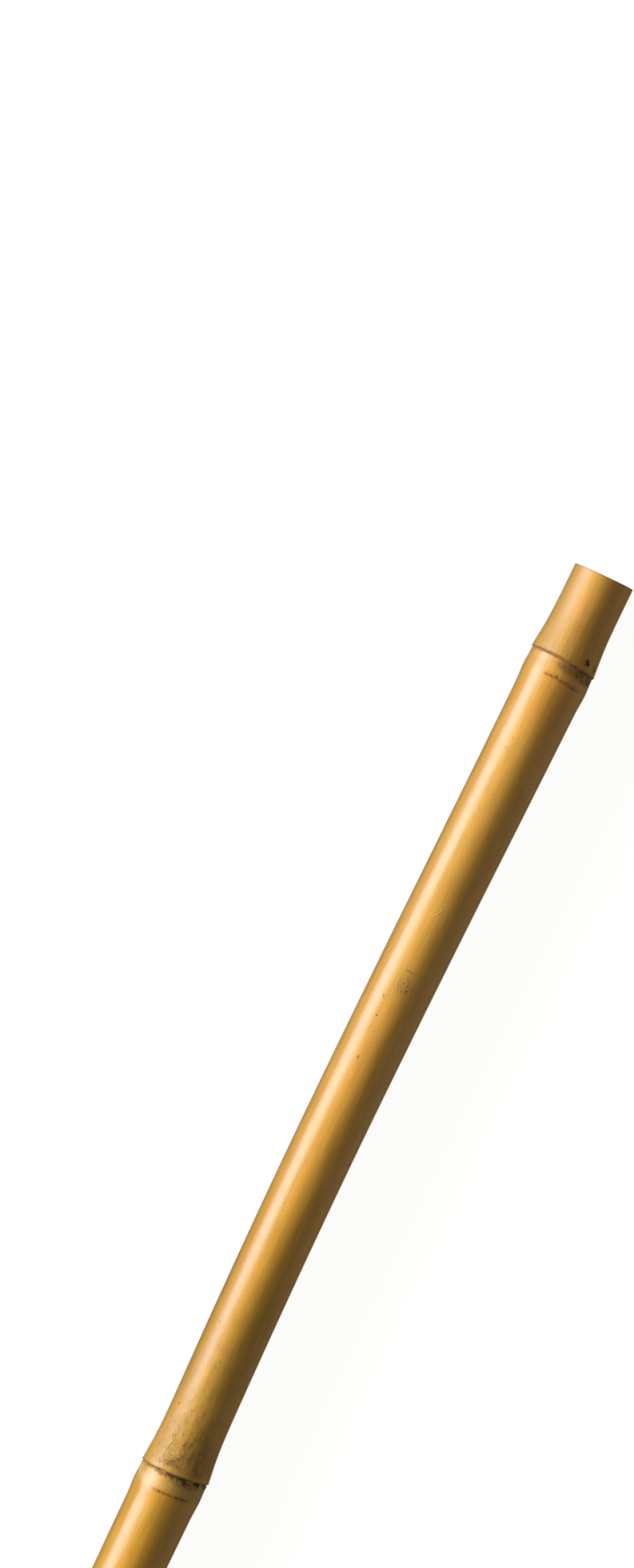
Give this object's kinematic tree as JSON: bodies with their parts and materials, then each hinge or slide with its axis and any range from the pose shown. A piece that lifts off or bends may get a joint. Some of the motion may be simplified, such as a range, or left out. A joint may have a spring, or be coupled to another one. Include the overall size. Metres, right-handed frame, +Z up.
{
  "type": "bamboo cane",
  "caption": "Straight sawn length of straw-coloured bamboo cane with swollen nodes, ringed sheath scars and hollow cut ends, lying on its side.",
  "frame": {"origin": "on the surface that the cane lies on, under the middle of its box", "axes": "+X along the cane from its butt end to its tip end, +Z up"},
  "size_m": [0.6, 0.0298, 0.0277],
  "materials": {
    "culm": "waxy golden bamboo skin, glossy along the internodes, matt and finely scored next to the nodes, pale and fibrous where sawn"
  },
  "bodies": {
    "root": {"cane": "culm"}
  },
  "joints": []
}
